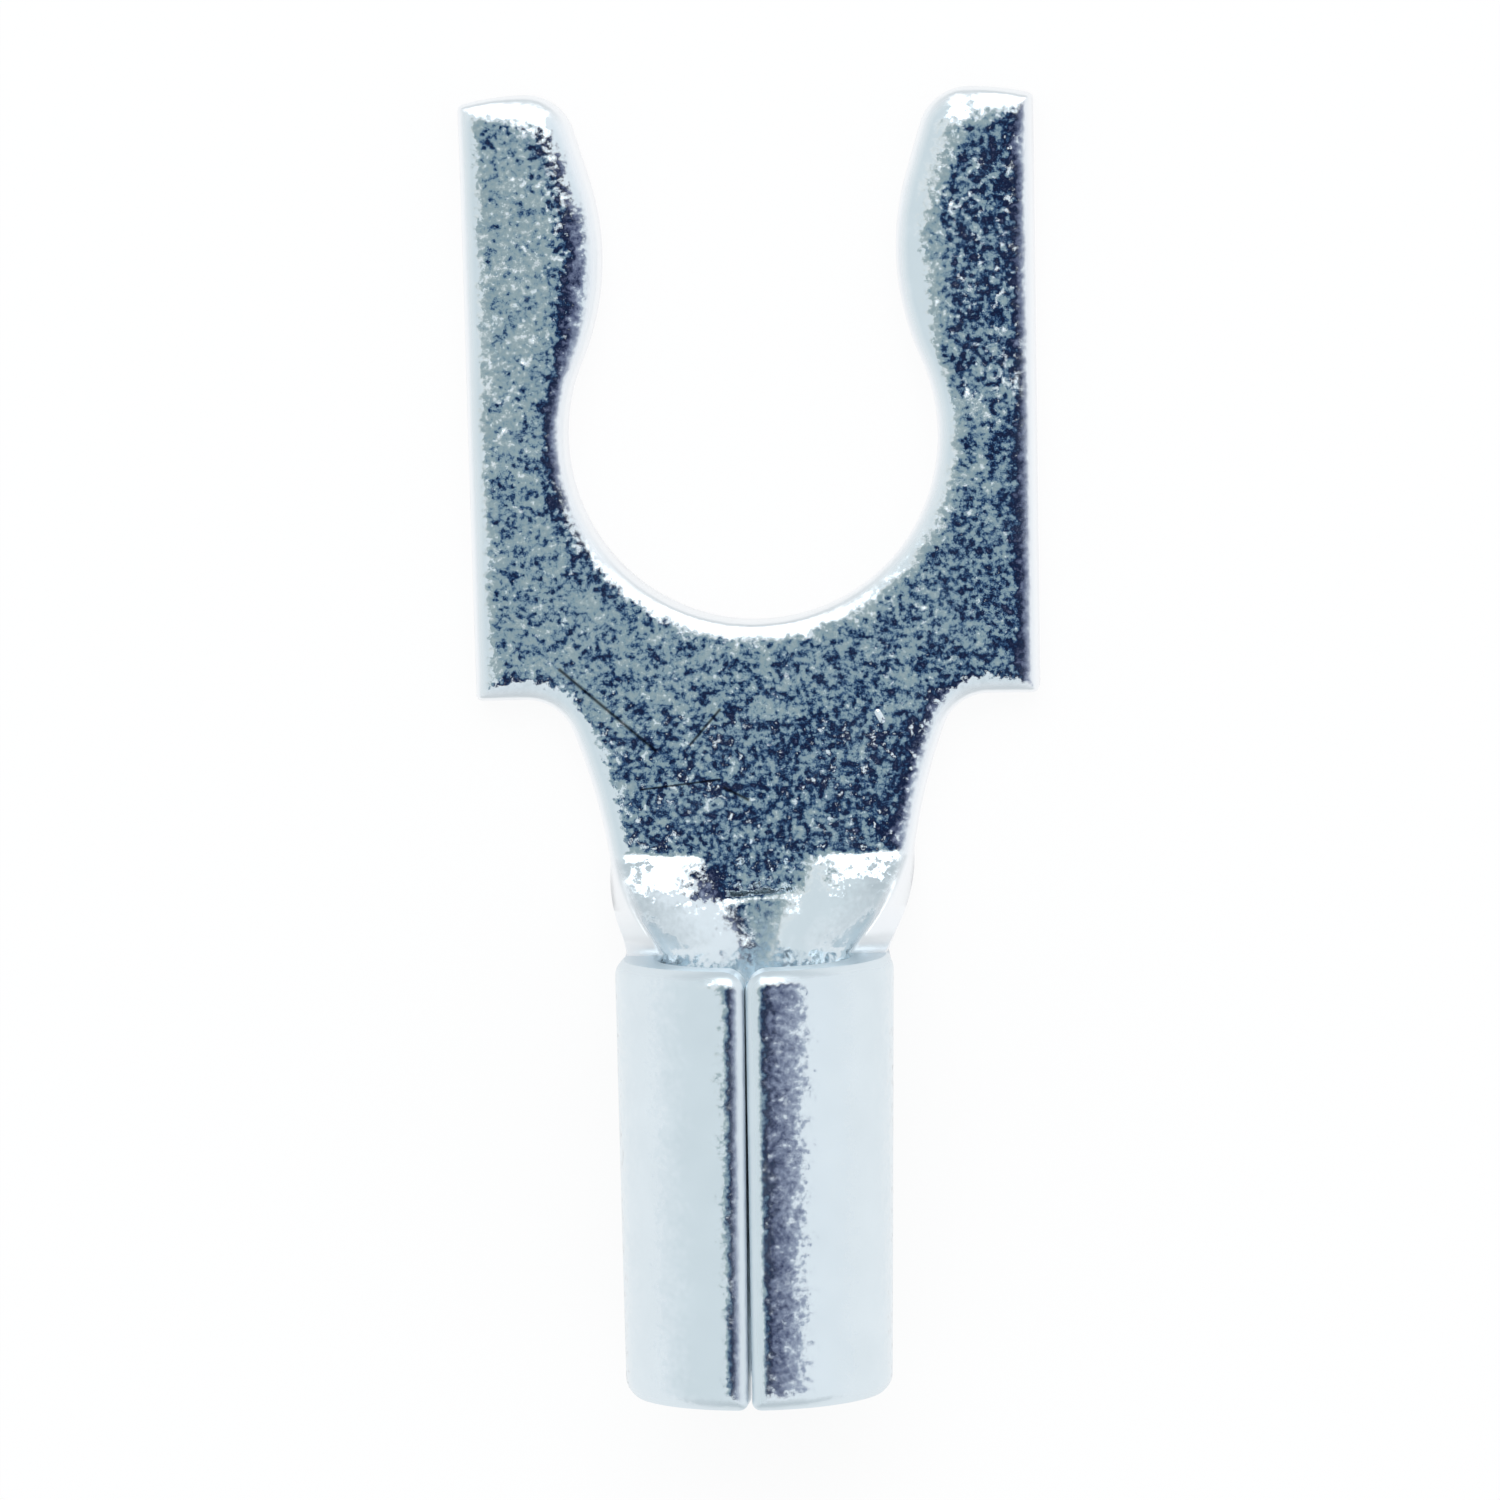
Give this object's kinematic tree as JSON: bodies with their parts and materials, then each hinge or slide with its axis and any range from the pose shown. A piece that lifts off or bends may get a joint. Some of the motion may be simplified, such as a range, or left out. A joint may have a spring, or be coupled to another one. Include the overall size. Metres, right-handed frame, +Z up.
{
  "type": "fork terminal",
  "caption": "Bare crimp terminal rolled from one sheet: a flat fork with a snap-in throat that grips a stud, and a split round barrel that is crimped onto a wire.",
  "frame": {"origin": "centre of the stud slot, on the flat underside of the tongue", "axes": "+Z up out of the tongue's face, towards the barrel's seam; +Y along the terminal, from the barrel to the tips of the fork"},
  "size_m": [0.008, 0.0182, 0.0039],
  "materials": {
    "tinned_copper": "satin tin plate over copper, with a fine rolled grain"
  },
  "bodies": {
    "root": {"fork_terminal": "tinned_copper"}
  },
  "joints": []
}
